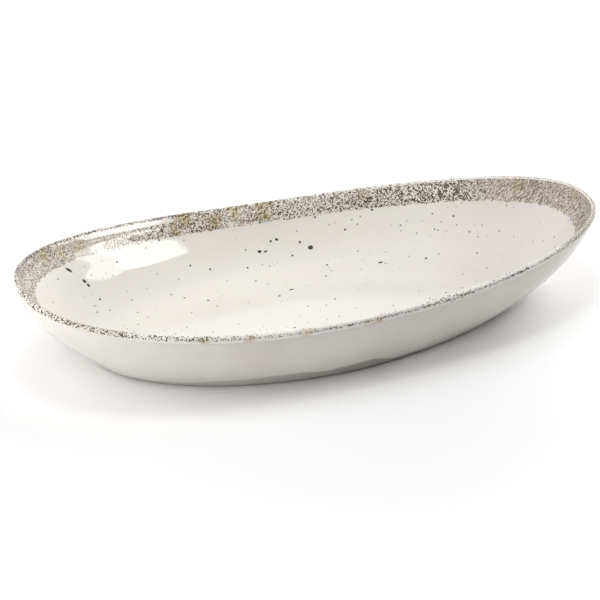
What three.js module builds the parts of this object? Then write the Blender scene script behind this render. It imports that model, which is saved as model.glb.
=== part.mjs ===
// Boat shaped oval serving dish: a moulded body with a printed rim and a printed well pressed into its inside.
// Millimetres, +Z up, +X along the dish, the foot ring standing on z = 0.
import * as THREE from "three";

// Outlines seen from above. A fullness of 2 is an ellipse, more is squarer
const RIM_LENGTH = 400;
const RIM_WIDTH = 182;
const RIM_FULLNESS = 2.23;
const FOOT_LENGTH = 301;
const FOOT_WIDTH = 143;
const FOOT_FULLNESS = 1.8;
const EGG_SHARE = 0.115; // how much wider the -X end is, and narrower the +X end

// Heights above the table
const SIDE_HEIGHT = 47.4; // rim at the middle of the long sides
const WIDE_END_HEIGHT = 61.9; // rim at the -X end
const NARROW_END_HEIGHT = 58.7; // rim at the +X end
const END_POWER = 1.76; // how late the sides turn into the ends
const FLOOR_HEIGHT = 6.6; // well at the edge of its floor
const FLOOR_SAG = 0.6; // the middle of the floor lies this much lower
const FOOT_HEIGHT = 2.4; // underside of the floor

// Outside wall. Shares are given at the long sides, the -X end and the +X end
const BULGE_SHARES = [0.62, 0.43, 0.64]; // of the way from foot to rim, pull at a third of the height
const SHOULDER_SHARES = [0.97, 0.99, 0.85]; // of the way from foot to rim, pull at two thirds of the height
const WALL_UNEVEN = 0.7; // hand formed unevenness of the wall
const WALL_LOBES = 7; // soft swellings round the wall
const FOOT_SETBACK = 1.5; // the foot ring stands back under the wall
const FOOT_RING_WIDTH = 5;
const FOOT_EDGE = 0.6; // bevel on the ring's edges

// Inside wall and lip. Shares are given as for the outside wall
const WALL_THICKNESS = 5; // under the eased inner edge of the lip
const LIP_RADIUS = 1.2; // round along the top of the rim
const EASE_DROP = 6; // the inner edge is eased from this far under the top of the rim
const EASE_LEAN = Math.PI / 6; // the eased edge leans out by this much
const EASE_RUN = 1.6; // pull of the eased edge at both of its ends
const COVE_INSET = 10; // the floor starts to curve up this far inside the foot
const COVE_SHARE = 0.37; // pull of the curve at the bottom of the wall, from foot towards rim
const UPPER_SHARES = [0.955, 0.64, 0.75]; // pull of the curve in the upper wall, from foot towards rim
const UPPER_RISE_SHARE = 0.76; // height of that pull, as a share of the rim's height

// Printed layers
const PRINT_THICKNESS = 0.4;
const BOND_GAP = 0.3; // between a printed layer and its neighbours
const BORDER_SHARES = [0.757, 0.83, 0.761]; // start of the rim's print along the inside wall, given as above
const PARTING_DROP = 3; // the rim's print ends this far under the widest part of the lip

// Fineness of the surfaces
const AROUND = 60;
const WELL_STEPS = 5;
const BAND_STEPS = 3;
const EASE_STEPS = 2;
const LIP_STEPS = 5;
const WALL_STEPS = 7;

const rimOval = { length: RIM_LENGTH, width: RIM_WIDTH, fullness: RIM_FULLNESS };
const footOval = { length: FOOT_LENGTH, width: FOOT_WIDTH, fullness: FOOT_FULLNESS };

const body = new THREE.MeshStandardMaterial({ color: 0xe9e6df, roughness: 0.25, metalness: 0 });
const speckled = new THREE.MeshStandardMaterial({ color: 0xb4ada2, roughness: 0.25, metalness: 0 });
const cream = new THREE.MeshStandardMaterial({ color: 0xefece5, roughness: 0.2, metalness: 0 });

function signedPower(value, power) {
  return Math.sign(value) * Math.abs(value) ** power;
}

// Point of an oval outline
function onOval(oval, angle) {
  const along = signedPower(Math.cos(angle), 2 / oval.fullness);
  const across = signedPower(Math.sin(angle), 2 / oval.fullness);
  const egg = 1 - EGG_SHARE * along;
  return new THREE.Vector2((along * oval.length) / 2, (across * egg * oval.width) / 2);
}

// Direction straight out of an oval outline
function outOfOval(oval, angle) {
  const step = 0.01;
  const tangent = onOval(oval, angle + step).sub(onOval(oval, angle - step));
  return new THREE.Vector2(tangent.y, -tangent.x).normalize();
}

// Value that changes from the long sides towards the ends
function towardsEnds(x, side, wideEnd, narrowEnd) {
  const share = (Math.abs(x) / (RIM_LENGTH / 2)) ** END_POWER;
  return side + ((x < 0 ? wideEnd : narrowEnd) - side) * share;
}

// Places on one section of the dish, as a share of the way from foot to rim, moved in by an inset
function sectionAt(angle) {
  const rim = onOval(rimOval, angle);
  const foot = onOval(footOval, angle);
  const out = outOfOval(rimOval, angle);
  const blend = (...values) => towardsEnds(rim.x, ...values);
  const height = blend(SIDE_HEIGHT, WIDE_END_HEIGHT, NARROW_END_HEIGHT);
  const place = (share, inset, z) => {
    const flat = foot.clone().lerp(rim, share).addScaledVector(out, -inset);
    return new THREE.Vector3(flat.x, flat.y, z);
  };
  return { height, place, blend };
}

// Outside wall from the foot ring up to the widest part of the lip
function outsideWall(angle) {
  const { height, place, blend } = sectionAt(angle);
  const rise = height - FOOT_HEIGHT;
  const uneven = WALL_UNEVEN * Math.cos(WALL_LOBES * angle);
  return new THREE.CubicBezierCurve3(
    place(0, -FOOT_SETBACK, FOOT_HEIGHT),
    place(blend(...BULGE_SHARES), -uneven, FOOT_HEIGHT + rise / 3),
    place(blend(...SHOULDER_SHARES), 0, FOOT_HEIGHT + (rise * 2) / 3),
    place(1, 0, height - LIP_RADIUS),
  );
}

// Inside wall from the edge of the floor up to the eased edge
function insideWall(angle) {
  const { height, place, blend } = sectionAt(angle);
  return new THREE.CubicBezierCurve3(
    place(0, COVE_INSET, FLOOR_HEIGHT),
    place(COVE_SHARE, 0, FLOOR_HEIGHT),
    place(blend(...UPPER_SHARES), WALL_THICKNESS, height * UPPER_RISE_SHARE),
    place(1, WALL_THICKNESS, height - EASE_DROP),
  );
}

// Round lip, from the eased edge over the top to the outside
function lipPoint(angle, share) {
  const { height, place } = sectionAt(angle);
  const turn = EASE_LEAN + (Math.PI - EASE_LEAN) * share;
  const inset = LIP_RADIUS * (1 + Math.cos(turn));
  return place(1, inset, height - LIP_RADIUS + LIP_RADIUS * Math.sin(turn));
}

// Eased inner edge, from the inside wall out to the lip
function easedEdge(angle) {
  const { height, place } = sectionAt(angle);
  const pullInset = LIP_RADIUS * (1 + Math.cos(EASE_LEAN)) + EASE_RUN * Math.sin(EASE_LEAN);
  const pullDrop = LIP_RADIUS * (1 - Math.sin(EASE_LEAN)) + EASE_RUN * Math.cos(EASE_LEAN);
  return new THREE.CubicBezierCurve3(
    place(1, WALL_THICKNESS, height - EASE_DROP),
    place(1, WALL_THICKNESS, height - EASE_DROP + EASE_RUN),
    place(1, pullInset, height - pullDrop),
    lipPoint(angle, 0),
  );
}

// Place on the outside wall a given drop under the widest part of the lip, as a share of the wall's curve
function shareAtDrop(wall, drop) {
  const slope = 3 * (wall.v3.z - wall.v2.z);
  return 1 - drop / slope;
}

const angles = Array.from({ length: AROUND }, (_, k) => (2 * Math.PI * k) / AROUND);

function ring(place) {
  return angles.map(place);
}

function pole(z) {
  return [new THREE.Vector3(0, 0, z)];
}

// Even shares from start to end, with both of them
function shares(steps, start, end) {
  return Array.from({ length: steps + 1 }, (_, k) => start + ((end - start) * k) / steps);
}

function insideRing(shareAt) {
  return ring((angle) => insideWall(angle).getPoint(shareAt(angle)));
}

// Start of the rim's print, as a share of the inside wall's curve
function borderShare(angle) {
  return sectionAt(angle).blend(...BORDER_SHARES);
}

function outsideRing(drop) {
  return ring((angle) => {
    const wall = outsideWall(angle);
    return wall.getPoint(shareAtDrop(wall, drop));
  });
}

function footRing(inset, z) {
  return ring((angle) => {
    const flat = onOval(footOval, angle).addScaledVector(outOfOval(footOval, angle), -inset);
    return new THREE.Vector3(flat.x, flat.y, z);
  });
}

// Middle of the floor, half way between its centre and its edge
function floorRing() {
  return insideRing(() => 0).map((p) => new THREE.Vector3(p.x / 2, p.y / 2, FLOOR_HEIGHT - FLOOR_SAG / 2));
}

// Rings moved below their own surface
function sunk(rings, depth) {
  const last = rings.length - 1;
  return rings.map((points, i) =>
    points.map((point, j) => {
      const along = rings[Math.min(i + 1, last)][j].clone().sub(rings[Math.max(i - 1, 0)][j]);
      const around = points[(j + 1) % AROUND].clone().sub(points[(j + AROUND - 1) % AROUND]);
      return point.clone().addScaledVector(along.cross(around).normalize(), -depth);
    }),
  );
}

// Surface through rings of points in order. A ring of one point closes the surface there
function loft(rings, endless) {
  const corners = rings.flat();
  const starts = rings.map((_, i) => rings.slice(0, i).flat().length);
  const corner = (i, j) => starts[i] + (j % rings[i].length);
  const index = [];
  const bands = endless ? rings.length : rings.length - 1;
  for (let i = 0; i < bands; i += 1) {
    const next = (i + 1) % rings.length;
    for (let j = 0; j < AROUND; j += 1) {
      if (rings[next].length > 1) index.push(corner(i, j), corner(next, j), corner(next, j + 1));
      if (rings[i].length > 1) index.push(corner(i, j), corner(next, j + 1), corner(i, j + 1));
    }
  }
  const geometry = new THREE.BufferGeometry().setFromPoints(corners);
  geometry.setIndex(index);
  geometry.computeVertexNormals();
  return geometry;
}

function named(name, geometry, material) {
  const mesh = new THREE.Mesh(geometry, material);
  mesh.name = name;
  return mesh;
}

// Visible inside of the dish, from the middle of the floor to the edge of the well's print
function wellSkin() {
  const gap = BOND_GAP / SIDE_HEIGHT;
  const wall = shares(WELL_STEPS, 0, 1).map((share) => insideRing((angle) => share * (borderShare(angle) - gap)));
  return [floorRing(), ...wall];
}

// Visible speckled band, over the lip and down to the parting line
function rimSkin() {
  const band = shares(BAND_STEPS, 0, 1).map((share) =>
    insideRing((angle) => borderShare(angle) + (1 - borderShare(angle)) * share),
  );
  const eased = shares(EASE_STEPS, 0, 1)
    .slice(1)
    .map((share) => ring((angle) => easedEdge(angle).getPoint(share)));
  const lip = shares(LIP_STEPS, 0, 1)
    .slice(1)
    .map((share) => ring((angle) => lipPoint(angle, share)));
  return [...band, ...eased, ...lip, outsideRing(PARTING_DROP)];
}

function wellFoil() {
  const skin = wellSkin();
  const under = sunk(skin, PRINT_THICKNESS).reverse();
  const middle = FLOOR_HEIGHT - FLOOR_SAG;
  return loft([pole(middle), ...skin, ...under, pole(middle - PRINT_THICKNESS)], false);
}

function rimFoil() {
  const skin = rimSkin();
  const under = sunk(skin, PRINT_THICKNESS).reverse();
  return loft([...skin, ...under], true);
}

// Wall, floor and foot ring in one moulding, with a ledge under the rim's print
function mouldedBody() {
  const depth = PRINT_THICKNESS + BOND_GAP;
  const ledge = outsideRing(PARTING_DROP + BOND_GAP);
  const bed = sunk([...wellSkin(), ...rimSkin(), ledge], depth);
  const wall = shares(WALL_STEPS, 1, 0)
    .slice(1)
    .map((share) => ring((angle) => outsideWall(angle).getPoint(share)));
  const inner = FOOT_RING_WIDTH;
  const foot = [
    footRing(0, FOOT_HEIGHT),
    footRing(0, FOOT_EDGE),
    footRing(FOOT_EDGE, 0),
    footRing(inner - FOOT_EDGE, 0),
    footRing(inner, FOOT_EDGE),
    footRing(inner, FOOT_HEIGHT),
  ];
  const top = pole(FLOOR_HEIGHT - FLOOR_SAG - depth);
  return loft([top, ...bed, ledge, ...wall, ...foot, pole(FOOT_HEIGHT)], false);
}

const dish = new THREE.Group();
dish.name = "oval_serving_dish";
dish.add(named("moulded_body", mouldedBody(), body));
dish.add(named("rim_foil", rimFoil(), speckled));
dish.add(named("well_foil", wellFoil(), cream));

export default dish;
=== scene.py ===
"""Looks of a boat-shaped oval serving dish: moulded body, speckled rim print and cream well print."""

import math
from typing import NamedTuple

import bmesh
import bpy
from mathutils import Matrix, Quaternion, Vector


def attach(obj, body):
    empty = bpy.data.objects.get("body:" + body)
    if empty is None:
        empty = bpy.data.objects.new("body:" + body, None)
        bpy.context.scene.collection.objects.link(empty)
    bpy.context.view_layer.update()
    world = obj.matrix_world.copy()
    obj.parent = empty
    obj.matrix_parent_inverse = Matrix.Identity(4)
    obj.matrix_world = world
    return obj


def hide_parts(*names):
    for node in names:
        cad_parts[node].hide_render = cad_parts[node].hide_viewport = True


bl_info = {
    "name": "Oval serving dish",
    "version": (1, 0, 0),
    "blender": (4, 5, 0),
    "location": "3D View > Sidebar > Dish",
    "description": "Builds a speckled, boat-shaped serving dish and its studio",
    "category": "Add Mesh",
}

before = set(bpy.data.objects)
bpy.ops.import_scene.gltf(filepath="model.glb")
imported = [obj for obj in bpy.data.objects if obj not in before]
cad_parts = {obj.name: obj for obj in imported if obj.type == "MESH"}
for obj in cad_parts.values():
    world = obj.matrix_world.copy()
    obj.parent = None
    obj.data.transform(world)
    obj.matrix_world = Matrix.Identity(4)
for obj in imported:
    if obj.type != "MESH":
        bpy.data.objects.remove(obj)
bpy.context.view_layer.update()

TAU = 2 * math.pi

# Steps of the meshes, round the dish and along each strip
AROUND = 288
FLOOR_STEPS = 24
WELL_WALL_STEPS = 40
BAND_STEPS = 14
EASED_STEPS = 10
LIP_STEPS = 12
OUTER_STEPS = 3
OUTSIDE_STEPS = 48
FOOT_STEPS = 2
UNDERSIDE_STEPS = 12

# Points nearer than this become one, and edges sharper than this stay sharp
WELD = 5e-5
SHARP_EDGE = math.radians(40)

# Share of the lip's round at which it is highest
LIP_TOP = 0.423
# Rough length of the inside wall, which turns a share of it into a distance
WALL_RUN = 0.05
# Turn to each side over which an outline's direction is taken
OUTLINE_STEP = 0.01
# Swells of the wall's ripple to a metre
RIPPLE_SCALE = 60.0

# Dark flecks of the well: place, direction and half sizes
FLECKS = (
    ((-0.1515, 0.0545, 0.0405), (0.75, 0.04, -0.66), (0.0027, 0.0008, 0.0008)),
    ((-0.1417, 0.0539, 0.0307), (0.75, 0.0, -0.66), (0.0016, 0.0009, 0.0009)),
    ((-0.1393, 0.0531, 0.0276), (0.7, -0.2, -0.7), (0.0013, 0.0008, 0.0008)),
    ((0.0264, 0.0732, 0.0150), (1.0, 0.0, 0.0), (0.0017, 0.0012, 0.0012)),
    ((0.0687, 0.0493, 0.0067), (1.0, 0.0, 0.0), (0.0016, 0.0008, 0.0008)),
    ((-0.0097, 0.0772, 0.0167), (1.0, 0.0, 0.0), (0.0012, 0.0009, 0.0009)),
    ((-0.0055, 0.0767, 0.0162), (1.0, 0.0, 0.1), (0.0013, 0.0005, 0.0005)),
    ((0.0038, 0.0798, 0.0223), (0.8, 0.0, -0.6), (0.0012, 0.0007, 0.0007)),
    ((-0.0026, 0.0355, 0.0063), (1.0, 0.1, 0.0), (0.0016, 0.0006, 0.0006)),
)
# Golden patches of the rim: place and half size
GOLD = (
    ((-0.1684, 0.0556, 0.0552), 0.005),
    ((-0.1548, 0.0612, 0.0493), 0.005),
    ((-0.1396, 0.0687, 0.0474), 0.004),
    ((-0.0692, 0.0855, 0.0414), 0.007),
    ((-0.0604, 0.0879, 0.0463), 0.006),
    ((-0.0400, 0.0871, 0.0399), 0.008),
    ((-0.0230, 0.0877, 0.0426), 0.009),
    ((-0.0050, 0.0878, 0.0441), 0.009),
    ((0.0660, 0.0830, 0.0460), 0.006),
    ((0.1692, 0.0446, 0.0528), 0.008),
    ((0.1952, 0.0083, 0.0535), 0.006),
    ((-0.1073, -0.0849, 0.0497), 0.004),
    ((-0.0803, -0.0893, 0.0471), 0.005),
    ((-0.0436, -0.0918, 0.0458), 0.005),
    ((0.0033, -0.0907, 0.0443), 0.005),
)


# Sizes, finishes and studio settings


def length(label, text, default):
    """A length in metres."""
    return bpy.props.FloatProperty(
        name=label, description=text, default=default, unit="LENGTH", precision=5
    )


def share(label, text, default):
    """A plain number."""
    return bpy.props.FloatProperty(name=label, description=text, default=default, precision=4)


def degrees(label, text, default):
    """An angle that is given in degrees and kept in radians."""
    return bpy.props.FloatProperty(
        name=label, description=text, default=math.radians(default), subtype="ANGLE"
    )


def colour(label, text, default):
    """A linear colour."""
    return bpy.props.FloatVectorProperty(
        name=label, description=text, default=default, size=3, subtype="COLOR", min=0.0, max=1.0
    )


class DishShape(bpy.types.PropertyGroup):
    """Sizes of the dish.

    The foot ring and the lip are finer than in the part's source, which has no hollow and no ripple.
    """

    rim_length: length("Rim length", "Length over the rim", 0.400)
    rim_width: length("Rim width", "Width over the rim at mid-length", 0.182)
    rim_fullness: share("Rim fullness", "2 is an ellipse, more is squarer", 2.23)
    foot_length: length("Foot length", "Length of the foot outline", 0.301)
    foot_width: length("Foot width", "Width of the foot outline at mid-length", 0.143)
    foot_fullness: share("Foot fullness", "2 is an ellipse, more is squarer", 1.8)
    egg: share("Egg share", "How much wider the -X end is", 0.115)
    height_side: length("Side height", "Rim at the middle of the long sides", 0.0474)
    height_wide: length("Wide end height", "Rim at the -X end", 0.0619)
    height_narrow: length("Narrow end height", "Rim at the +X end", 0.0587)
    end_power: share("End power", "How late the sides turn into the ends", 1.76)
    floor_height: length("Floor height", "Well at the edge of its floor", 0.0066)
    floor_sag: length("Floor sag", "The middle of the floor lies this much lower", 0.0006)
    foot_height: length("Foot height", "Underside of the floor", 0.001)
    bulge_side: share("Side bulge", "Pull of the outside wall at a third of its height", 0.62)
    bulge_wide: share("Wide end bulge", "The same at the -X end", 0.43)
    bulge_narrow: share("Narrow end bulge", "The same at the +X end", 0.64)
    shoulder_side: share("Side shoulder", "Pull of the outside wall at two thirds of its height", 0.97)
    shoulder_wide: share("Wide end shoulder", "The same at the -X end", 0.99)
    shoulder_narrow: share("Narrow end shoulder", "The same at the +X end", 0.85)
    wall_uneven: length("Wall unevenness", "Soft swellings of the outside wall", 0.0007)
    wall_lobes: share("Wall lobes", "Number of soft swellings round the wall", 7.0)
    foot_setback: length("Foot setback", "The wall ends this far outside the foot outline", 0.0015)
    foot_inset: length("Foot inset", "The foot ring stands this far inside the foot outline", 0.0025)
    foot_ring: length("Foot ring width", "Width of the foot ring", 0.005)
    foot_edge: length("Foot edge", "Bevel on the edges of the foot ring", 0.0004)
    wall: length("Wall thickness", "Wall under the eased edge", 0.0052)
    lip_radius: length("Lip radius", "Round along the top of the rim", 0.0017)
    ease_drop: length("Ease drop", "Start of the eased edge under the top of the rim", 0.006)
    ease_lean: degrees("Ease lean", "Lean of the eased edge at the lip", 24)
    ease_start: degrees("Ease start", "Lean of the eased edge at its lower end", 14)
    ease_run: length("Ease run", "Pull of the eased edge at its ends", 0.0016)
    cove_inset: length("Cove inset", "The floor curves up this far inside the foot", 0.010)
    cove_share: share("Cove share", "Pull of the curve at the bottom of the wall", 0.37)
    upper_side: share("Side upper wall", "Pull of the curve in the upper inside wall", 0.955)
    upper_wide: share("Wide end upper wall", "The same at the -X end", 0.64)
    upper_narrow: share("Narrow end upper wall", "The same at the +X end", 0.75)
    upper_rise: share("Upper rise", "Height of that pull as a share of the rim's", 0.76)
    print_thickness: length("Print thickness", "Thickness of the printed layers", 0.0004)
    bond_gap: length("Bond gap", "Gap between a printed layer and its neighbours", 0.0003)
    border_side: share("Side border", "Start of the rim print along the inside wall", 0.757)
    border_wide: share("Wide end border", "The same at the -X end", 0.83)
    border_narrow: share("Narrow end border", "The same at the +X end", 0.761)
    parting_drop: length("Parting drop", "End of the rim print under the lip's widest part", 0.003)
    hollow: length("Hollow", "Depth of the soft hollow along the border of the prints", 0.00045)
    hollow_drop: share("Hollow drop", "Share of the inside wall from the hollow up to the border", 0.015)
    hollow_share: share("Hollow share", "Half width of that hollow along the inside wall", 0.18)
    ripple: length("Ripple", "Uneven moulding of the walls", 0.00018)


class DishFinish(bpy.types.PropertyGroup):
    """Colours of the moulding and its prints, some of which also paint shade, a highlight and a
    reflection.
    """

    body: colour("Body", "Off-white moulded body", (0.80, 0.768, 0.725))
    cloud: colour("Cloud", "Soft darker clouds of the body", (0.755, 0.715, 0.662))
    # Foot is painted shade along the foot, weakest at the lit wide end
    foot: colour("Foot", "Darker band along the foot", (0.42, 0.385, 0.35))
    cream: colour("Cream", "Ground of the well print", (0.862, 0.837, 0.787))
    # Blush also paints shade on the well towards the narrow end
    blush_and_shade: colour("Blush", "Pinkish clouds of the well print", (0.75, 0.713, 0.672))
    stone: colour("Stone", "Pale ground of the rim print", (0.80, 0.74, 0.655))
    chalk: colour("Chalk", "Whitest grains of the rim print", (0.95, 0.93, 0.89))
    # Haze also paints the reflection that fades the print on the back wall near the wide end
    haze: colour("Haze", "Ground of the rim print at its ends and where it is faint", (0.59, 0.53, 0.44))
    # Pale also paints the highlight on the eased edge near the wide end
    pale: colour("Pale", "Ground on the lip and where the eased edge is bare", (0.92, 0.895, 0.85))
    straw: colour("Straw", "Ground of the golden patches", (0.66, 0.53, 0.31))
    soot: colour("Soot", "Darkest specks", (0.036, 0.025, 0.015))
    umber: colour("Umber", "Brown specks and tinges", (0.145, 0.107, 0.072))
    bronze: colour("Bronze", "Specks of the golden patches", (0.22, 0.15, 0.04))


class DishStudio(bpy.types.PropertyGroup):
    """Camera and table."""

    azimuth: degrees("Azimuth", "Camera turn round the dish", -21.766)
    elevation: degrees("Elevation", "Camera height as an angle", 28)
    distance: length("Distance", "Camera distance from its target", 1.61848)
    lens: share("Lens", "Focal length in millimetres on a 36 mm sensor", 144.0)
    floor: colour("Floor", "Colour of the table", (0.93, 0.93, 0.93))


SIZE_LABELS = {key: settings.keywords["name"] for key, settings in DishShape.__annotations__.items()}


# Node trees as Python expressions


class Value:
    """A socket that adds nodes to its tree when it takes part in arithmetic."""

    def __init__(self, tree, socket):
        self.tree = tree
        self.socket = socket

    @property
    def is_vector(self):
        return self.socket.type == "VECTOR"

    def __add__(self, other):
        return self.tree.combine("ADD", self, other)

    def __radd__(self, other):
        return self.tree.combine("ADD", other, self)

    def __sub__(self, other):
        return self.tree.combine("SUBTRACT", self, other)

    def __rsub__(self, other):
        return self.tree.combine("SUBTRACT", other, self)

    def __mul__(self, other):
        return self.tree.combine("MULTIPLY", self, other)

    def __rmul__(self, other):
        return self.tree.combine("MULTIPLY", other, self)

    def __truediv__(self, other):
        return self.tree.combine("DIVIDE", self, other)

    def __rtruediv__(self, other):
        return self.tree.combine("DIVIDE", other, self)

    def __pow__(self, other):
        return self.tree.combine("POWER", self, other)

    def does(self, operation, *others):
        """A Math or Vector Math node that starts from this value."""
        return self.tree.combine(operation, self, *others)


class Tree:
    """A node tree that is written from Python."""

    def __init__(self, tree):
        self.tree = tree

    def add(self, kind, settings=None, sockets=None):
        """Adds a node, sets it up and feeds its sockets."""
        node = self.tree.nodes.new(kind)
        for name, setting in (settings or {}).items():
            setattr(node, name, setting)
        for name, fed in (sockets or {}).items():
            self.feed(node.inputs[name], fed)
        return node

    def node(self, kind, settings=None, sockets=None, output=0):
        """Adds a node and gives one of its outputs."""
        return Value(self, self.add(kind, settings, sockets).outputs[output])

    def feed(self, socket, fed):
        """Links a value to a socket, or sets the socket to a number, a colour or a data-block."""
        if isinstance(fed, Value):
            self.tree.links.new(fed.socket, socket)
        elif socket.type == "RGBA" and len(fed) == 3:
            socket.default_value = (*fed, 1.0)
        else:
            socket.default_value = fed

    def combine(self, operation, *values):
        """Math on numbers, or Vector Math where a vector is among the values."""
        vectors = [v for v in values if isinstance(v, Value) and v.is_vector]
        if not vectors:
            return self.node("ShaderNodeMath", {"operation": operation}, dict(enumerate(values)))
        numbers = [v for v in values if v not in vectors and not isinstance(v, tuple)]
        if operation == "MULTIPLY" and numbers:
            fed = {"Vector": vectors[0], "Scale": numbers[0]}
            return self.node("ShaderNodeVectorMath", {"operation": "SCALE"}, fed)
        fed = dict(enumerate(values))
        output = "Value" if operation == "LENGTH" else "Vector"
        return self.node("ShaderNodeVectorMath", {"operation": operation}, fed, output)

    def vector(self, x=0.0, y=0.0, z=0.0):
        return self.node("ShaderNodeCombineXYZ", None, {0: x, 1: y, 2: z})

    def parts(self, vector):
        """X, Y and Z of a vector."""
        split = self.add("ShaderNodeSeparateXYZ", None, {0: vector})
        return [Value(self, socket) for socket in split.outputs]

    def between(self, value, low, high, first=0.0, last=1.0):
        """A smooth step from first to last while the value goes from low to high."""
        return self.node(
            "ShaderNodeMapRange",
            {"interpolation_type": "SMOOTHSTEP"},
            {"Value": value, "From Min": low, "From Max": high, "To Min": first, "To Max": last},
        )

    def rise(self, value, span):
        """0 before a span and 1 after it, with a smooth step along it."""
        return self.between(value, *span)

    def fall(self, value, span):
        """1 before a span and 0 after it, with a smooth step along it."""
        return self.between(value, *span, 1.0, 0.0)


# The rule that shapes the dish, as Geometry Nodes


class ShapeTree(Tree):
    """A Geometry Nodes tree with the sizes of the dish, and maybe more numbers, as its named inputs."""

    def __init__(self, name, numbers=()):
        super().__init__(bpy.data.node_groups.new(name, "GeometryNodeTree"))
        for label in (*SIZE_LABELS.values(), *numbers):
            self.tree.interface.new_socket(name=label, in_out="INPUT", socket_type="NodeSocketFloat")
        self.entry = self.add("NodeGroupInput")

    def given(self, label):
        """One of the tree's inputs."""
        return Value(self, self.entry.outputs[label])

    def size(self, key):
        """One of the sizes of the dish."""
        return self.given(SIZE_LABELS[key])

    def use(self, group, numbers):
        """Adds a group with this tree's own sizes and gives its outputs."""
        node = self.add("GeometryNodeGroup", {"node_tree": group})
        for socket in node.inputs:
            self.feed(socket, numbers[socket.name] if socket.name in numbers else self.given(socket.name))
        return [Value(self, socket) for socket in node.outputs]

    def ended(self, kind, results):
        """Ends the tree in named outputs of one kind."""
        for name in results:
            self.tree.interface.new_socket(name=name, in_out="OUTPUT", socket_type=kind)
        self.add("NodeGroupOutput", None, results)
        return self.tree

    def finished(self, geometry, material):
        """Ends the tree in a real mesh with its material."""
        real = self.node("GeometryNodeRealizeInstances", None, {"Geometry": geometry})
        done = self.node("GeometryNodeSetMaterial", None, {"Geometry": real, "Material": material})
        return self.ended("NodeSocketGeometry", {"Geometry": done})

    def strip(self, steps, place):
        """A grid bent into a ring. place(along, angle) gives its points, and marks for its material."""
        counts = {"Vertices X": steps + 1, "Vertices Y": AROUND + 1}
        grid = self.node("GeometryNodeMeshGrid", None, {"Size X": 1.0, "Size Y": 1.0, **counts})
        along, turn, _ = self.parts(self.node("GeometryNodeInputPosition"))
        point, marks = place(along + 0.5, (turn + 0.5) * TAU)
        for name, mark in marks.items():
            settings = {"data_type": "FLOAT", "domain": "POINT"}
            fed = {"Geometry": grid, "Name": name, "Value": mark}
            grid = self.node("GeometryNodeStoreNamedAttribute", settings, fed)
        return self.node("GeometryNodeSetPosition", None, {"Geometry": grid, "Position": point})

    def pushed(self, geometry, distance):
        """Moves a surface along its own normals."""
        offset = self.node("GeometryNodeInputNormal") * distance
        return self.node("GeometryNodeSetPosition", None, {"Geometry": geometry, "Offset": offset})

    def welded(self, strips):
        """Joins strips and closes the seams between them."""
        join = self.add("GeometryNodeJoinGeometry")
        for strip in strips:
            self.feed(join.inputs[0], strip)
        loose = Value(self, join.outputs[0])
        return self.node("GeometryNodeMergeByDistance", None, {"Geometry": loose, "Distance": WELD})

    def signed_power(self, value, power):
        """A power that keeps the sign of its base."""
        return value.does("SIGN") * value.does("ABSOLUTE") ** power

    def oval(self, name, angle):
        """Point of the rim's or the foot's outline."""
        power = 2.0 / self.size(name + "_fullness")
        along = self.signed_power(angle.does("COSINE"), power)
        across = self.signed_power(angle.does("SINE"), power)
        wide = 1.0 - self.size("egg") * along
        half_length = self.size(name + "_length") * 0.5
        half_width = self.size(name + "_width") * 0.5
        return self.vector(along * half_length, across * wide * half_width)

    def out_of(self, name, angle):
        """Direction straight out of an outline."""
        ahead = self.oval(name, angle + OUTLINE_STEP)
        behind = self.oval(name, angle - OUTLINE_STEP)
        x, y, _ = self.parts(ahead - behind)
        return self.vector(y, 0.0 - x).does("NORMALIZE")

    def bezier(self, points, t):
        """Point of a cubic curve."""
        s = 1.0 - t
        first, second, third, fourth = points
        start = first * (s * s * s) + second * (3.0 * s * s * t)
        return start + third * (3.0 * s * t * t) + fourth * (t * t * t)


def outline_group():
    """Outlines of rim and foot at an angle, their directions out and how near the ends are, made once."""
    name = "dish outlines"
    if name in bpy.data.node_groups:
        return bpy.data.node_groups[name]
    tree = ShapeTree(name, ["Angle"])
    angle = tree.given("Angle")
    rim = tree.oval("rim", angle)
    reach = tree.parts(rim)[0] / (tree.size("rim_length") * 0.5)
    near_end = reach.does("ABSOLUTE") ** tree.size("end_power")
    narrow = reach.does("GREATER_THAN", 0.0)
    outlines = {
        "Rim": rim,
        "Foot": tree.oval("foot", angle),
        "Out of rim": tree.out_of("rim", angle),
        "Out of foot": tree.out_of("foot", angle),
        "Nearness of ends": tree.vector(near_end * (1.0 - narrow), near_end * narrow),
    }
    return tree.ended("NodeSocketVector", outlines)


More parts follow.
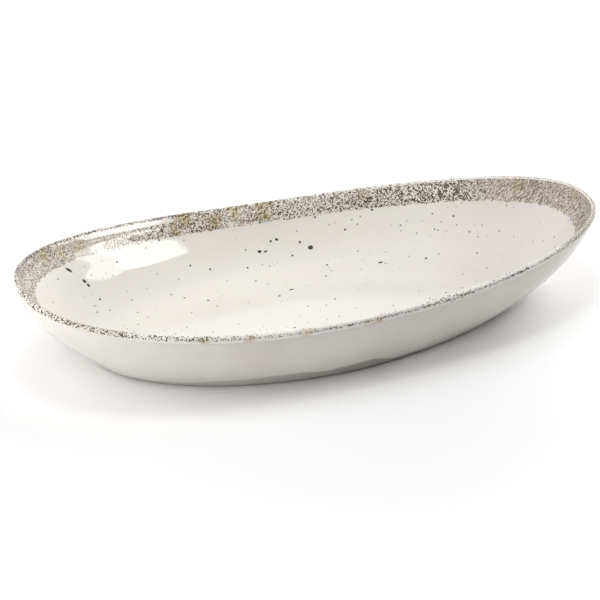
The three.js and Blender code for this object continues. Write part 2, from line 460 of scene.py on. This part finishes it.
class Section:
    """The dish cut upright at one angle."""

    def __init__(self, tree, angle):
        self.tree = tree
        self.size = tree.size
        self.angle = angle
        self.rim, self.foot, self.out, self.foot_out, ends = tree.use(outline_group(), {"Angle": angle})
        self.wide, self.narrow, _ = tree.parts(ends)
        self.height = self.blend("height")

    def blend(self, name):
        """A value that changes from the long sides towards the two ends."""
        side = self.size(name + "_side")
        wide = (self.size(name + "_wide") - side) * self.wide
        return side + wide + (self.size(name + "_narrow") - side) * self.narrow

    def place(self, part, inset, z):
        """A place as a share of the way from foot to rim, moved in by an inset, at a height."""
        flat = self.foot + (self.rim - self.foot) * part - self.out * inset
        return flat + self.tree.vector(z=z)

    def rippled(self, point, t):
        """Soft unevenness left by the moulding, which fades at both ends of a wall's curve."""
        fed = {"Vector": point, "Scale": RIPPLE_SCALE, "Detail": 0.0}
        noise = self.tree.node("ShaderNodeTexNoise", {"noise_dimensions": "3D"}, fed)
        # Goes up to 2 in the middle, because the noise strays by a half
        fade = t * (1.0 - t) * 8.0
        return point + self.out * ((noise - 0.5) * fade * self.size("ripple"))

    def floor(self, t):
        """The well's floor from its middle to its edge."""
        x, y, _ = self.tree.parts(self.place(0.0, self.size("cove_inset"), 0.0) * t)
        return self.tree.vector(x, y, self.size("floor_height") - self.size("floor_sag") * (1.0 - t))

    def inside(self, t):
        """Inside wall from the edge of the floor up to the eased edge."""
        points = (
            self.place(0.0, self.size("cove_inset"), self.size("floor_height")),
            self.place(self.size("cove_share"), 0.0, self.size("floor_height")),
            self.place(self.blend("upper"), self.size("wall"), self.height * self.size("upper_rise")),
            self.place(1.0, self.size("wall"), self.height - self.size("ease_drop")),
        )
        away = (t - self.blend("border") + self.size("hollow_drop")) / self.size("hollow_share")
        away = away.does("MAXIMUM", -1.0).does("MINIMUM", 1.0)
        deep = 1.0 - away * away
        hollowed = self.tree.bezier(points, t) + self.out * (deep * deep * self.size("hollow"))
        return self.rippled(hollowed, t)

    def marked(self, point, over_border, side):
        """A point with its distance over the prints' border and its depth from the lip's top.

        The side is -1 inside the top of the lip and 1 outside it.
        """
        drop = self.height - self.tree.parts(point)[2]
        return point, {"over_border": over_border, "past_lip": drop * side}

    def eased(self, t):
        """Eased inner edge, from the inside wall out to the lip."""
        lean = self.size("ease_lean")
        start = self.size("ease_start")
        run = self.size("ease_run")
        start_inset = self.size("wall") - run * start.does("SINE")
        pull_inset = self.size("lip_radius") * (1.0 + lean.does("COSINE")) + run * lean.does("SINE")
        pull_drop = self.size("lip_radius") * (1.0 - lean.does("SINE")) + run * lean.does("COSINE")
        low = self.height - self.size("ease_drop")
        points = (
            self.place(1.0, self.size("wall"), low),
            self.place(1.0, start_inset, low + run * start.does("COSINE")),
            self.place(1.0, pull_inset, self.height - pull_drop),
            self.lip(0.0),
        )
        return self.tree.bezier(points, t)

    def lip(self, t):
        """Round lip, from the eased edge over the top to the outside."""
        lean = self.size("ease_lean")
        turn = lean + (math.pi - lean) * t
        inset = self.size("lip_radius") * (1.0 + turn.does("COSINE"))
        return self.place(1.0, inset, self.height - self.size("lip_radius") * (1.0 - turn.does("SINE")))

    def outside(self, t):
        """Outside wall from its lower end up to the widest part of the lip."""
        low = self.size("foot_height")
        rise = self.height - low
        uneven = self.size("wall_uneven") * (self.size("wall_lobes") * self.angle).does("COSINE")
        points = (
            self.place(0.0, 0.0 - self.size("foot_setback"), low),
            self.place(self.blend("bulge"), 0.0 - uneven, low + rise / 3.0),
            self.place(self.blend("shoulder"), 0.0, low + rise * (2.0 / 3.0)),
            self.place(1.0, 0.0, self.height - self.size("lip_radius")),
        )
        return self.rippled(self.tree.bezier(points, t), t)

    def outside_share(self, drop):
        """Share of the outside curve at a drop under the widest part of the lip."""
        rise = self.height - self.size("foot_height")
        # How steeply the curve climbs at its upper end
        climb = rise - self.size("lip_radius") * 3.0
        return 1.0 - drop / climb

    def foot_ring(self, inset, z):
        """A place inside the foot's outline, at a height."""
        return self.foot - self.foot_out * inset + self.tree.vector(z=z)


def well_strips(tree):
    """Floor and lower wall of the inside, up to the border of the prints."""

    def floor(t, angle):
        section = Section(tree, angle)
        return section.marked(section.floor(t), -WALL_RUN, -1.0)

    def wall(t, angle):
        section = Section(tree, angle)
        border = section.blend("border")
        return section.marked(section.inside(border * t), border * (t - 1.0) * WALL_RUN, -1.0)

    return [tree.strip(FLOOR_STEPS, floor), tree.strip(WELL_WALL_STEPS, wall)]


def rim_strips(tree):
    """Upper wall, eased edge and lip, down to the parting line outside."""

    def band(t, angle):
        section = Section(tree, angle)
        border = section.blend("border")
        above = (1.0 - border) * t
        return section.marked(section.inside(border + above), above * WALL_RUN, -1.0)

    def eased(t, angle):
        section = Section(tree, angle)
        return section.marked(section.eased(t), WALL_RUN, -1.0)

    def lip(t, angle):
        section = Section(tree, angle)
        return section.marked(section.lip(t), WALL_RUN, (t - LIP_TOP).does("SIGN"))

    def outer(t, angle):
        section = Section(tree, angle)
        share_left = section.outside_share(tree.size("parting_drop") * t)
        return section.marked(section.outside(share_left), WALL_RUN, 1.0)

    parts = ((BAND_STEPS, band), (EASED_STEPS, eased), (LIP_STEPS, lip), (OUTER_STEPS, outer))
    return [tree.strip(steps, place) for steps, place in parts]


def outside_strips(tree):
    """Outside wall under the rim print, foot ring and underside."""
    drop = tree.size("parting_drop")
    edge = tree.size("foot_edge")
    high = tree.size("foot_height")
    outer = tree.size("foot_inset")
    inner = outer + tree.size("foot_ring")

    def wall(t, angle):
        section = Section(tree, angle)
        return section.outside(section.outside_share(drop) * (1.0 - t)), {}

    def setback(t, angle):
        section = Section(tree, angle)
        wall_end = section.place(0.0, 0.0 - tree.size("foot_setback"), high)
        return wall_end + (section.foot_ring(outer, high) - wall_end) * t, {}

    def foot_step(first, last):
        def place(t, angle):
            inset = (last[0] - first[0]) * t + first[0]
            return Section(tree, angle).foot_ring(inset, (last[1] - first[1]) * t + first[1]), {}

        return place

    def underside(t, angle):
        x, y, _ = tree.parts(Section(tree, angle).foot_ring(inner, 0.0))
        return tree.vector(x * (1.0 - t), y * (1.0 - t), high), {}

    outer_side = [(outer, high), (outer, edge), (outer + edge, 0.0)]
    inner_side = [(inner - edge, 0.0), (inner, edge), (inner, high)]
    foot = outer_side + inner_side
    return [
        tree.strip(OUTSIDE_STEPS, wall),
        tree.strip(FOOT_STEPS, setback),
        *(tree.strip(FOOT_STEPS, foot_step(*pair)) for pair in zip(foot, foot[1:])),
        tree.strip(UNDERSIDE_STEPS, underside),
    ]


def well_tree(material):
    """The outer face of the well print."""
    tree = ShapeTree("well print shape")
    return tree.finished(tree.welded(well_strips(tree)), material)


def rim_tree(material):
    """The outer face of the rim print."""
    tree = ShapeTree("rim print shape")
    return tree.finished(tree.welded(rim_strips(tree)), material)


def body_tree(material):
    """The moulded body, sunk under the prints and still open at the edge of the rim print."""
    tree = ShapeTree("moulded body shape")
    depth = tree.size("print_thickness") + tree.size("bond_gap")
    bed = tree.welded([*well_strips(tree), *rim_strips(tree)])
    sunk = tree.pushed(bed, 0.0 - depth)
    return tree.finished(tree.welded([sunk, *outside_strips(tree)]), material)


def close_ledge(mesh):
    """Closes the body with the narrow ledge that the edge of the rim print lies on."""
    shell = bmesh.new()
    shell.from_mesh(mesh)
    bmesh.ops.bridge_loops(shell, edges=[edge for edge in shell.edges if edge.is_boundary])
    bmesh.ops.recalc_face_normals(shell, faces=shell.faces)
    shell.to_mesh(mesh)
    shell.free()


def add_piece(name, tree, shape, thickness=0.0):
    """Turns a tree into a plain mesh piece, with a wall where a thickness is given."""
    piece = bpy.data.objects.new(name, bpy.data.meshes.new(name))
    bpy.context.scene.collection.objects.link(piece)
    modifier = piece.modifiers.new("shape", "NODES")
    modifier.node_group = tree
    for key, label in SIZE_LABELS.items():
        modifier[tree.interface.items_tree[label].identifier] = getattr(shape, key)
    if thickness:
        wall = piece.modifiers.new("wall", "SOLIDIFY")
        wall.thickness = thickness
        wall.offset = -1.0
        wall.use_even_offset = False
    evaluated = piece.evaluated_get(bpy.context.evaluated_depsgraph_get())
    mesh = bpy.data.meshes.new_from_object(evaluated)
    if not mesh.polygons:
        raise RuntimeError(f"{name} has no faces")
    piece.modifiers.clear()
    piece.data = mesh
    mesh.name = name
    finish = mesh.materials[-1]
    mesh.materials.clear()
    mesh.materials.append(finish)
    mesh.polygons.foreach_set("material_index", [0] * len(mesh.polygons))
    mesh.polygons.foreach_set("use_smooth", [True] * len(mesh.polygons))
    mesh.set_sharp_from_angle(angle=SHARP_EDGE)
    return piece


# Materials


class Finish(Tree):
    """A material written from Python."""

    def __init__(self, name):
        self.material = bpy.data.materials.new(name)
        self.material.use_nodes = True
        super().__init__(self.material.node_tree)
        self.shader = self.tree.nodes["Principled BSDF"]
        self.place = self.node("ShaderNodeTexCoord", output="Object")

    def noise(self, scale, detail=2.0):
        """Soft noise between 0 and 1."""
        fed = {"Vector": self.place, "Scale": scale, "Detail": detail}
        return self.node("ShaderNodeTexNoise", {"noise_dimensions": "3D"}, fed)

    def jitter(self, amount, scale, detail=2.0):
        """Noise about zero."""
        return (self.noise(scale, detail) - 0.5) * amount

    def mark(self, name):
        """A number that the piece's mesh carries."""
        return self.node("ShaderNodeAttribute", {"attribute_name": name}, output="Fac")

    def turned(self, location, towards, size):
        """Coordinates centred on a place, with X along a direction, in units of a size."""
        turn = Vector(towards).to_track_quat("X", "Z").to_euler()
        fed = {"Vector": self.place, "Location": location, "Rotation": turn, "Scale": size}
        return self.node("ShaderNodeMapping", {"vector_type": "TEXTURE"}, fed)

    def mixed(self, factor, first, last):
        """A colour between two colours."""
        fed = {"Factor": factor, 6: first, 7: last}
        return self.node("ShaderNodeMix", {"data_type": "RGBA"}, fed, output=2)

    def set(self, **sockets):
        """Feeds the shader's sockets and gives the material."""
        for name, fed in sockets.items():
            self.feed(self.shader.inputs[name.replace("_", " ")], fed)
        return self.material


def uneven_gloss(look, smoothest, spread):
    """Roughness that changes softly over the surface."""
    return smoothest + look.noise(scale=60.0) * spread


def grains(look, scale, place=None):
    """Two random numbers for every grain of a fine mosaic."""
    fed = {"Vector": place or look.place, "Scale": scale}
    first, last, _ = look.parts(look.node("ShaderNodeTexVoronoi", None, fed, output="Color"))
    return first, last


# Edge of a dot as shares of its radius
DOT_EDGE = (0.75, 1.15)


def dots(look, scale, smallest, largest):
    """Scattered round dots of uneven size, most of them small."""
    cells = look.add("ShaderNodeTexVoronoi", None, {"Vector": look.place, "Scale": scale})
    pick, _, _ = look.parts(Value(look, cells.outputs["Color"]))
    radius = smallest + pick * pick * pick * (largest - smallest)
    return look.fall(Value(look, cells.outputs["Distance"]) / radius, DOT_EDGE)


def blots(look, shapes, scale, ragged, edge):
    """Ragged blots, each with a place, a direction and half sizes."""
    rough = look.jitter(ragged, scale)
    total = 0.0
    for shape in shapes:
        blot = look.fall(look.turned(*shape).does("LENGTH") + rough, edge)
        total = blot.does("MAXIMUM", total)
    return total


# Edge of the painted shade along the foot: mean height, wave along the dish, raggedness and softness
FOOT_LINE = 0.0055
FOOT_WAVE = 0.006
FOOT_WAVE_LENGTH = 0.30
FOOT_WAVE_TOP = -0.045
FOOT_RAGGED = 0.012
FOOT_FADE = (-0.0018, 0.0003)
# The painted shade gains strength along this span of X, towards the side away from the lamps, from this
# share to the whole
FOOT_GAIN = (-0.08, 0.02)
FOOT_WEAKEST = 0.55
# Span of the noise over which the body's clouds thicken
BODY_CLOUDS = (0.38, 0.65)


def painted_foot_shade(look):
    """Painted shade: a darker band along the foot, which ends unevenly and is weaker towards the lit wide
    end.
    """
    x, _, z = look.parts(look.place)
    wave = ((x - FOOT_WAVE_TOP) * (TAU / FOOT_WAVE_LENGTH)).does("COSINE")
    line = FOOT_LINE + wave * FOOT_WAVE + look.jitter(FOOT_RAGGED, scale=26.0, detail=1.0)
    return look.fall(z - line, FOOT_FADE) * look.between(x, *FOOT_GAIN, FOOT_WEAKEST, 1.0)


def moulded_gloss(finish):
    """Off-white gloss with soft clouds and painted shade in a darker band along the foot."""
    look = Finish("moulded gloss")
    cloud = look.rise(look.noise(scale=20.0, detail=3.0), BODY_CLOUDS)
    tint = look.mixed(cloud, finish.body, finish.cloud)
    tint = look.mixed(painted_foot_shade(look), tint, finish.foot)
    return look.set(Base_Color=tint, Roughness=uneven_gloss(look, smoothest=0.07, spread=0.06))


# Spans over which the zones of the rim print start or end, along X
WIDE_END = (-0.175, -0.12)
NARROW_END = (0.12, 0.17)
BACK_LIP_END = (0.08, 0.13)
# Painted highlight on the eased edge, between these spans
PAINTED_HIGHLIGHT_START = (-0.14, -0.12)
PAINTED_HIGHLIGHT_END = (-0.075, -0.058)
# Painted reflection over the print on the back wall, between these spans
PAINTED_REFLECTION_START = (-0.155, -0.14)
PAINTED_REFLECTION_END = (-0.12, -0.09)
THIN_END = (-0.02, 0.06)
DENSE_START = (0.07, 0.11)
FRONT_RUN = (-0.05, 0.05)
# The same along Y
BACK_HALF = (0.0, 0.04)
FRONT_EDGE = (-0.09, -0.06)
# The same along X less a share of Y
PLAIN_LIP_START = (-0.08, 0.06)
PLAIN_LIP_SLANT = 0.6
# The same in depth from the top of the lip, negative inside
EASED_START = (-0.0045, -0.0035)
LIP_START = (-0.0013, -0.0008)
LIP_MIDDLE = (-0.0005, 0.0001)
PLAIN_LIP_END = (0.0008, 0.0014)
PRINT_END = (0.0022, 0.0036)
# Share of the plain lip that specks take back outside its middle at the narrow end
NARROW_LIP_SPECKS = 0.8


class RimZones:
    """Coordinates of the rim print and its zones, which are 1 inside and 0 outside with soft edges."""

    def __init__(self, look):
        x, y, _ = look.parts(look.place)
        past_lip = look.mark("past_lip")
        self.x = x
        self.y = y
        self.past_lip = past_lip
        self.wide_end = look.fall(x, WIDE_END)
        self.narrow_end = look.rise(x, NARROW_END)
        self.on_lip = look.rise(past_lip, LIP_START)
        self.narrow_outer = self.narrow_end * look.rise(past_lip, LIP_MIDDLE)
        lip_top = self.on_lip * look.fall(past_lip, PLAIN_LIP_END)
        plain = lip_top * look.rise(x - y * PLAIN_LIP_SLANT, PLAIN_LIP_START)
        self.plain_lip = plain * (1.0 - self.narrow_outer * NARROW_LIP_SPECKS)
        back = look.rise(y, BACK_HALF)
        self.back_lip = self.on_lip * back * look.fall(x, BACK_LIP_END)
        inside = 1.0 - self.on_lip
        eased = look.rise(past_lip, EASED_START) * inside
        # Painted highlight: the eased edge is pale and bare of specks here
        self.painted_highlight = eased * look.rise(x, PAINTED_HIGHLIGHT_START) * look.fall(x, PAINTED_HIGHLIGHT_END)
        # Painted reflection: the print is faded and hazy on the back wall near the wide end
        painted_reflection = look.rise(x, PAINTED_REFLECTION_START) * look.fall(x, PAINTED_REFLECTION_END)
        self.painted_reflection = painted_reflection * back * inside


# Grains of the rim print to a metre, and how they are stretched and refined at the narrow end
SPECK_SCALE = 1300.0
STREAK_TOWARDS = (1.0, 0.0, 1.0)
STREAK_SIZES = (4.0, 1.0, 1.0)
STREAK_FINENESS = 2.0
# Numbers under which a grain is dark, or tinged with ash, and over which its ground is chalky
DARK_GRAINS = (0.34, 0.37)
ASHEN_GRAINS = (0.46, 0.50)
CHALKY_GRAINS = (0.5, 0.55)
# Shifts of the grains' numbers. The higher a number, the rarer dark specks are
PATCHINESS = 0.6
THIN_SHIFT = 0.035
DENSE_SHIFT = -0.09
FRONT_SHIFTS = (0.04, -0.18)
PLAIN_LIP_SHIFT = 0.4
BACK_LIP_SHIFT = -0.12
GOLDEN_SHIFT = -0.1
PRINT_END_SHIFT = 0.5


def rim_grains(look, zones):
    """Numbers of the rim print's grains, the first in streaks at the narrow end."""
    stretched = look.turned((0.0, 0.0, 0.0), STREAK_TOWARDS, STREAK_SIZES)
    even, shade = grains(look, SPECK_SCALE)
    streaked, _ = grains(look, SPECK_SCALE * STREAK_FINENESS, stretched)
    return even + (streaked - even) * zones.narrow_end, shade


def crowded(look, zones, grain, golden):
    """The grains' numbers, lowered where dark specks crowd and raised where they are rare."""
    crowding = look.jitter(PATCHINESS, scale=22.0)
    crowding = crowding + look.between(zones.x, *THIN_END, THIN_SHIFT, 0.0)
    crowding = crowding + look.between(zones.x, *DENSE_START, 0.0, DENSE_SHIFT)
    front = look.fall(zones.y, FRONT_EDGE) * look.between(zones.x, *FRONT_RUN, *FRONT_SHIFTS)
    number = grain + crowding + front + zones.plain_lip * PLAIN_LIP_SHIFT
    number = number + zones.back_lip * BACK_LIP_SHIFT + golden * GOLDEN_SHIFT
    return number + look.between(zones.past_lip, *PRINT_END, 0.0, PRINT_END_SHIFT)


# Shares of the colours in the ground, and shares that the zones take away from them
CHALK_SHARE = 0.8
WIDE_CHALK_LOSS = 0.5
NARROW_HAZE = 0.6
WIDE_HAZE = 0.4
PAINTED_REFLECTION_HAZE = 0.55
NARROW_PALE_LOSS = 0.7
WIDE_PALE_LOSS = 0.8
BACK_PALE_LOSS = 0.75
STRAW_SHARE = 0.6
NARROW_GOLD_LOSS = 0.5


def golden_patches(look, zones):
    """Ragged golden patches, weaker at the narrow end."""
    shapes = [(place, (1.0, 0.0, 0.0), (size,) * 3) for place, size in GOLD]
    patches = blots(look, shapes, scale=200.0, ragged=4.0, edge=(0.2, 1.3))
    return patches * (1.0 - zones.narrow_end * NARROW_GOLD_LOSS)


def rim_ground(look, finish, zones, shade, golden):
    """Pale ground with chalky grains, hazy at the ends and under the painted reflection, palest on the
    lip and on the painted highlight, and golden in the patches.
    """
    chalky = look.rise(shade, CHALKY_GRAINS) * (1.0 - zones.narrow_end)
    chalky = chalky * (1.0 - zones.wide_end * WIDE_CHALK_LOSS)
    # The haze also stands for a painted reflection on the back wall near the wide end
    haze_and_reflection = zones.narrow_end * NARROW_HAZE + zones.wide_end * WIDE_HAZE + zones.painted_reflection * PAINTED_REFLECTION_HAZE
    pale = 1.0 - zones.narrow_outer * NARROW_PALE_LOSS - zones.wide_end * WIDE_PALE_LOSS
    pale = zones.on_lip * pale - zones.back_lip * BACK_PALE_LOSS
    ground = look.mixed(chalky * CHALK_SHARE, finish.stone, finish.chalk)
    ground = look.mixed(haze_and_reflection, ground, finish.haze)
    # Palest on the lip, and on the eased edge where a highlight is painted
    ground = look.mixed(zones.painted_highlight.does("MAXIMUM", pale), ground, finish.pale)
    return look.mixed(golden * STRAW_SHARE, ground, finish.straw)


# Shares of the colours in the specks, and shares by which the zones fade them
ASH_SHARE = 0.5
LIP_ASH_LOSS = 0.7
BRONZE_SHARE = 0.85
WIDE_FADE = 0.3
NARROW_FADE = 0.2
PAINTED_REFLECTION_FADE = 0.55


def speck_strength(zones):
    """How clear the specks are: fainter at the ends, faintest under the painted reflection and on the
    painted highlight.
    """
    wide = 1.0 - zones.wide_end * WIDE_FADE * (1.0 - zones.on_lip)
    ends = wide * (1.0 - zones.narrow_end * NARROW_FADE)
    return ends * (1.0 - zones.painted_highlight) * (1.0 - zones.painted_reflection * PAINTED_REFLECTION_FADE)


def speckled_colour(look, finish):
    """Dense dark grains on a pale ground with golden patches, fainter at the ends and streaked at one."""
    zones = RimZones(look)
    golden = golden_patches(look, zones)
    grain, shade = rim_grains(look, zones)
    number = crowded(look, zones, grain, golden)
    strength = speck_strength(zones)
    ash = look.fall(number, ASHEN_GRAINS) * (1.0 - (zones.on_lip - zones.back_lip) * LIP_ASH_LOSS)
    ground = rim_ground(look, finish, zones, shade, golden)
    ashen = look.mixed(ash * ASH_SHARE * strength, ground, finish.umber)
    speck = look.mixed(shade, finish.soot, finish.umber)
    speck = look.mixed(golden * BRONZE_SHARE, speck, finish.bronze)
    return look.mixed(look.fall(number, DARK_GRAINS) * strength, ashen, speck)


# The well print turns pinkish in clouds along this span of noise, and pinkish and darker along this span
# of X towards the narrow end, which is painted shade
WELL_CLOUDS = (0.4, 0.65)
WELL_SHADE_START = (0.09, 0.16)
# Shares of the pinkish colour in the clouds and in the painted shade, and of the dark colour in faint
# dots
CLOUD_SHARE = 0.15
WELL_SHADE_SHARE = 0.75
FAINT_SHARE = 0.6


def cream_colour(look, finish):
    """Cream with soft clouds, painted shade towards the narrow end, placed dark flecks and scattered
    dots, some of them faint.
    """
    x, _, _ = look.parts(look.place)
    cloud = look.between(look.noise(scale=14.0, detail=3.0), *WELL_CLOUDS, 0.0, CLOUD_SHARE)
    # Painted shade: the well darkens towards the narrow end
    cloud = cloud + look.between(x, *WELL_SHADE_START, 0.0, WELL_SHADE_SHARE)
    ground = look.mixed(cloud, finish.cream, finish.blush_and_shade)
    faint = dots(look, scale=210.0, smallest=0.04, largest=0.18) * FAINT_SHARE
    clear = dots(look, scale=150.0, smallest=0.05, largest=0.15)
    flecks = blots(look, FLECKS, scale=900.0, ragged=0.6, edge=(1.0, 1.3))
    specks = faint.does("MAXIMUM", clear).does("MAXIMUM", flecks)
    return look.mixed(specks, ground, finish.soot)


# Raggedness and softness of the border between the prints
BORDER_RAGGED = 0.004
BORDER_FADE = (-0.0001, 0.0001)


def printed_gloss(name, finish):
    """The glazed print, speckled over the border and cream under it."""
    look = Finish(name)
    over = look.rise(look.mark("over_border") + look.jitter(BORDER_RAGGED, scale=420.0), BORDER_FADE)
    tint = look.mixed(over, cream_colour(look, finish), speckled_colour(look, finish))
    return look.set(Base_Color=tint, Roughness=uneven_gloss(look, smoothest=0.04, spread=0.04))


# Studio

CAMERA_TARGET = Vector((0.001518, 0.030418, 0.0))
SENSOR_WIDTH = 36.0

# Reach of the table, and the centre from which it turns white over a span of distance
TABLE_REACH = 6.0
GLOW_CENTRE = (-0.06, -0.02, 0.0)
GLOW_START = (0.16, 0.6)


class Lamp(NamedTuple):
    """A lamp that faces the dish, with angles in degrees, lengths in metres and power in watts."""

    name: str
    azimuth: float
    elevation: float
    distance: float
    size: tuple
    power: float
    roll: float = 0.0


# Soft boxes, which light the dish
BOXES = (
    Lamp("overhead", 0.0, 89.9, 1.6, (0.4, 0.4), 3.4),
    Lamp("left box", -90.0, 30.0, 1.6, (1.0, 1.0), 2.1),
    Lamp("low left box", -90.0, 14.0, 1.6, (1.0, 0.7), 4.4),
    Lamp("near left box", -90.0, 35.0, 0.8, (0.5, 0.5), 1.9),
    Lamp("near upper left box", -90.0, 65.0, 0.8, (0.5, 0.5), 1.5),
    Lamp("near front left box", -50.0, 35.0, 0.8, (0.5, 0.5), 1.1),
    Lamp("front left box", -50.0, 30.0, 1.6, (1.0, 1.0), 1.7),
    Lamp("near right box", 90.0, 35.0, 0.8, (0.5, 0.5), 1.7),
    Lamp("right box", 90.0, 30.0, 1.6, (1.0, 1.0), 2.9),
    Lamp("back right box", 130.0, 35.0, 1.6, (1.0, 1.0), 5.8),
    Lamp("low back right box", 125.0, 14.0, 1.6, (1.0, 0.5), 12.8),
)

# Rounded strips, which only show in its gloss
STRIPS = (
    Lamp("bright strip", 47.2, 20.3, 1.33, (0.71, 0.47), 6.4),
    Lamp("dim strip", 68.5, 20.4, 1.33, (0.68, 0.36), 3.1, roll=-18.0),
)


def from_target(azimuth, elevation):
    """Direction from what is looked at to a camera or a lamp."""
    flat = math.cos(elevation)
    return Vector((math.sin(azimuth) * flat, -math.cos(azimuth) * flat, math.sin(elevation)))


def add_camera(studio):
    back = from_target(studio.azimuth, studio.elevation)
    data = bpy.data.cameras.new("camera")
    data.sensor_width = SENSOR_WIDTH
    data.lens = studio.lens
    camera = bpy.data.objects.new("camera", data)
    camera.location = CAMERA_TARGET + back * studio.distance
    camera.rotation_euler = back.to_track_quat("Z", "Y").to_euler()
    bpy.context.scene.collection.objects.link(camera)
    bpy.context.scene.camera = camera


def add_lamp(settings, gloss):
    """A box that lights the dish, or a strip that shows in its gloss."""
    back = from_target(math.radians(settings.azimuth), math.radians(settings.elevation))
    data = bpy.data.lights.new(settings.name, "AREA")
    data.shape = "ELLIPSE" if gloss else "RECTANGLE"
    data.size, data.size_y = settings.size
    data.energy = settings.power
    lamp = bpy.data.objects.new(settings.name, data)
    lamp.location = back * settings.distance
    rolled = Quaternion((0.0, 0.0, 1.0), math.radians(settings.roll))
    lamp.rotation_euler = (back.to_track_quat("Z", "Y") @ rolled).to_euler()
    lamp.visible_glossy = gloss
    lamp.visible_diffuse = not gloss
    bpy.context.scene.collection.objects.link(lamp)


def seen_directly(tree):
    """1 where the eye, a gloss or a glass looks, 0 for light that is scattered."""
    path = tree.add("ShaderNodeLightPath")
    names = ("Is Camera Ray", "Is Glossy Ray", "Is Transmission Ray")
    camera, glossy, through = (Value(tree, path.outputs[name]) for name in names)
    return camera.does("MAXIMUM", glossy).does("MAXIMUM", through)


def add_world():
    world = bpy.data.worlds.new("studio")
    world.use_nodes = True
    bpy.context.scene.world = world
    tree = Tree(world.node_tree)
    background = world.node_tree.nodes["Background"]
    tree.feed(background.inputs["Color"], (1.0, 1.0, 1.0))
    tree.feed(background.inputs["Strength"], seen_directly(tree))


def table_finish(studio):
    """Matt and pale near the dish, where its shadow falls, and white further out."""
    look = Finish("table")
    look.set(Base_Color=tuple(studio.floor), Roughness=0.9, Specular_IOR_Level=0.0)
    far = look.rise((look.place - GLOW_CENTRE).does("LENGTH"), GLOW_START)
    glow = look.node("ShaderNodeEmission", None, {"Strength": seen_directly(look) * far})
    both = look.node("ShaderNodeAddShader", None, {0: Value(look, look.shader.outputs[0]), 1: glow})
    look.feed(look.tree.nodes["Material Output"].inputs["Surface"], both)
    return look.material


def add_table(studio):
    mesh = bpy.data.meshes.new("table")
    signs = ((-1, -1), (1, -1), (1, 1), (-1, 1))
    mesh.from_pydata([(x * TABLE_REACH, y * TABLE_REACH, 0) for x, y in signs], [], [(0, 1, 2, 3)])
    mesh.materials.append(table_finish(studio))
    table = bpy.data.objects.new("table", mesh)
    bpy.context.scene.collection.objects.link(table)


# Operators


class DISH_OT_body(bpy.types.Operator):
    """Make the moulded body"""

    bl_idname = "dish.body"
    bl_label = "Moulded body"

    def execute(self, context):
        scene = context.scene
        piece = add_piece("dish_body", body_tree(moulded_gloss(scene.dish_finish)), scene.dish_shape)
        close_ledge(piece.data)
        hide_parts("moulded_body")
        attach(piece, "root")
        return {"FINISHED"}


class DISH_OT_rim_print(bpy.types.Operator):
    """Make the speckled print of the rim"""

    bl_idname = "dish.rim_print"
    bl_label = "Rim print"

    def execute(self, context):
        shape = context.scene.dish_shape
        tree = rim_tree(printed_gloss("speckled print", context.scene.dish_finish))
        piece = add_piece("dish_rim_print", tree, shape, shape.print_thickness)
        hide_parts("rim_foil")
        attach(piece, "root")
        return {"FINISHED"}


class DISH_OT_well_print(bpy.types.Operator):
    """Make the lightly speckled print of the well"""

    bl_idname = "dish.well_print"
    bl_label = "Well print"

    def execute(self, context):
        shape = context.scene.dish_shape
        tree = well_tree(printed_gloss("cream print", context.scene.dish_finish))
        piece = add_piece("dish_well_print", tree, shape, shape.print_thickness)
        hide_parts("well_foil")
        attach(piece, "root")
        return {"FINISHED"}


class DISH_OT_studio(bpy.types.Operator):
    """Set up the table, the lights and the camera"""

    bl_idname = "dish.studio"
    bl_label = "Studio"

    def execute(self, context):
        studio = context.scene.dish_studio
        context.scene.view_settings.view_transform = "Standard"
        add_world()
        add_table(studio)
        for box in BOXES:
            add_lamp(box, gloss=False)
        for strip in STRIPS:
            add_lamp(strip, gloss=True)
        add_camera(studio)
        return {"FINISHED"}


class DISH_PT_panel(bpy.types.Panel):
    """Steps that make the dish"""

    bl_label = "Oval serving dish"
    bl_idname = "DISH_PT_panel"
    bl_space_type = "VIEW_3D"
    bl_region_type = "UI"
    bl_category = "Dish"

    def draw(self, context):
        for step in STEPS:
            self.layout.operator(step.bl_idname)


STEPS = (DISH_OT_body, DISH_OT_rim_print, DISH_OT_well_print, DISH_OT_studio)
CLASSES = (DishShape, DishFinish, DishStudio, *STEPS, DISH_PT_panel)


def register():
    for each in CLASSES:
        bpy.utils.register_class(each)
    bpy.types.Scene.dish_shape = bpy.props.PointerProperty(type=DishShape)
    bpy.types.Scene.dish_finish = bpy.props.PointerProperty(type=DishFinish)
    bpy.types.Scene.dish_studio = bpy.props.PointerProperty(type=DishStudio)


def unregister():
    del bpy.types.Scene.dish_studio
    del bpy.types.Scene.dish_finish
    del bpy.types.Scene.dish_shape
    for each in reversed(CLASSES):
        bpy.utils.unregister_class(each)


def main():
    register()
    bpy.ops.dish.body()
    bpy.ops.dish.rim_print()
    bpy.ops.dish.well_print()
    bpy.ops.dish.studio()


if __name__ == "__main__":
    main()
